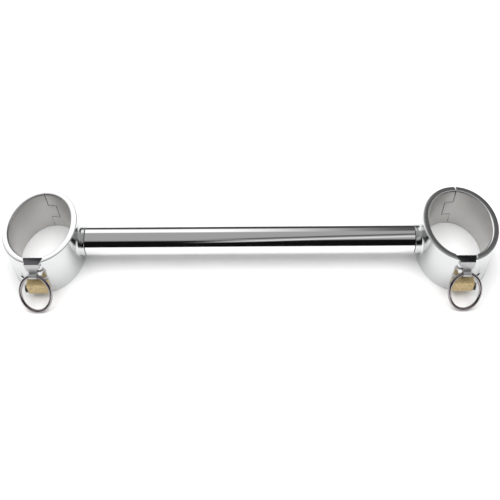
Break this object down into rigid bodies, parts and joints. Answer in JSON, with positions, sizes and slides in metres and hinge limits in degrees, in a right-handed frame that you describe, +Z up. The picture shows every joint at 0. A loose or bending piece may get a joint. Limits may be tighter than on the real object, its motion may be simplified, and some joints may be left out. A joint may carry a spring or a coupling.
{
  "type": "handcuffs",
  "caption": "Rigid handcuffs: two hinged oval steel cuffs with key locks and swinging rings, joined by a straight round bar.",
  "frame": {"origin": "centre of the footprint on the ground, under the middle of the bar", "axes": "+X along the bar to the right cuff, +Z up along the cuff bores, -Y towards the locks and rings"},
  "size_m": [0.417, 0.1006, 0.0438],
  "materials": {
    "mirror_steel": "mirror polished round bar",
    "polished_steel": "polished rims and outer walls, satin bores and lugs",
    "chrome_wire": "bright round wire",
    "lock_brass": "machined brass, lightly worn",
    "dark_steel": "plain machined steel",
    "spring_steel": "drawn spring wire"
  },
  "bodies": {
    "bar_frame": {"bar_tube": "mirror_steel", "left_end_plug": "dark_steel", "left_bar_screw": "dark_steel", "left_fixed_half": "polished_steel", "left_hinge_pin": "dark_steel", "right_end_plug": "dark_steel", "right_bar_screw": "dark_steel", "right_fixed_half": "polished_steel", "right_hinge_pin": "dark_steel"},
    "left_gate": {"left_hinged_half": "polished_steel", "left_ring_lug": "polished_steel", "left_lug_screw": "dark_steel", "left_lock_body": "lock_brass", "left_spring_cover": "lock_brass", "left_lock_set_screw": "dark_steel", "left_driver_pin_1": "lock_brass", "left_driver_pin_2": "lock_brass", "left_driver_pin_3": "lock_brass", "left_tumbler_spring_1": "spring_steel", "left_tumbler_spring_2": "spring_steel", "left_tumbler_spring_3": "spring_steel"},
    "left_key_plug": {"left_lock_plug": "dark_steel", "left_lock_cam": "dark_steel", "left_cam_screw": "dark_steel", "left_key_pin_1": "lock_brass", "left_key_pin_2": "lock_brass", "left_key_pin_3": "lock_brass"},
    "left_ring_body": {"left_ring": "chrome_wire"},
    "right_gate": {"right_hinged_half": "polished_steel", "right_ring_lug": "polished_steel", "right_lug_screw": "dark_steel", "right_lock_body": "lock_brass", "right_spring_cover": "lock_brass", "right_lock_set_screw": "dark_steel", "right_driver_pin_1": "lock_brass", "right_driver_pin_2": "lock_brass", "right_driver_pin_3": "lock_brass", "right_tumbler_spring_1": "spring_steel", "right_tumbler_spring_2": "spring_steel", "right_tumbler_spring_3": "spring_steel"},
    "right_key_plug": {"right_lock_plug": "dark_steel", "right_lock_cam": "dark_steel", "right_cam_screw": "dark_steel", "right_key_pin_1": "lock_brass", "right_key_pin_2": "lock_brass", "right_key_pin_3": "lock_brass"},
    "right_ring_body": {"right_ring": "chrome_wire"}
  },
  "joints": [
    {"name": "left_gate_hinge", "type": "hinge", "parent": "bar_frame", "child": "left_gate", "pos_m": [-0.1752, 0.04748, 0.02165], "axis": [0, 0, -1], "range_deg": [0, 100]},
    {"name": "left_key_turn", "type": "hinge", "parent": "left_gate", "child": "left_key_plug", "pos_m": [-0.1792, -0.03302, 0.0123], "axis": [-1, 0, 0], "range_deg": [0, 90]},
    {"name": "left_ring_swing", "type": "hinge", "parent": "left_gate", "child": "left_ring_body", "pos_m": [-0.178, -0.03312, 0.03], "axis": [-1, 0, 0], "range_deg": [-25, 140]},
    {"name": "right_gate_hinge", "type": "hinge", "parent": "bar_frame", "child": "right_gate", "pos_m": [0.1752, 0.04748, 0.02165], "axis": [0, 0, 1], "range_deg": [0, 100]},
    {"name": "right_key_turn", "type": "hinge", "parent": "right_gate", "child": "right_key_plug", "pos_m": [0.1792, -0.03302, 0.0123], "axis": [-1, 0, 0], "range_deg": [0, 90]},
    {"name": "right_ring_swing", "type": "hinge", "parent": "right_gate", "child": "right_ring_body", "pos_m": [0.178, -0.03312, 0.03], "axis": [-1, 0, 0], "range_deg": [-25, 140]}
  ]
}
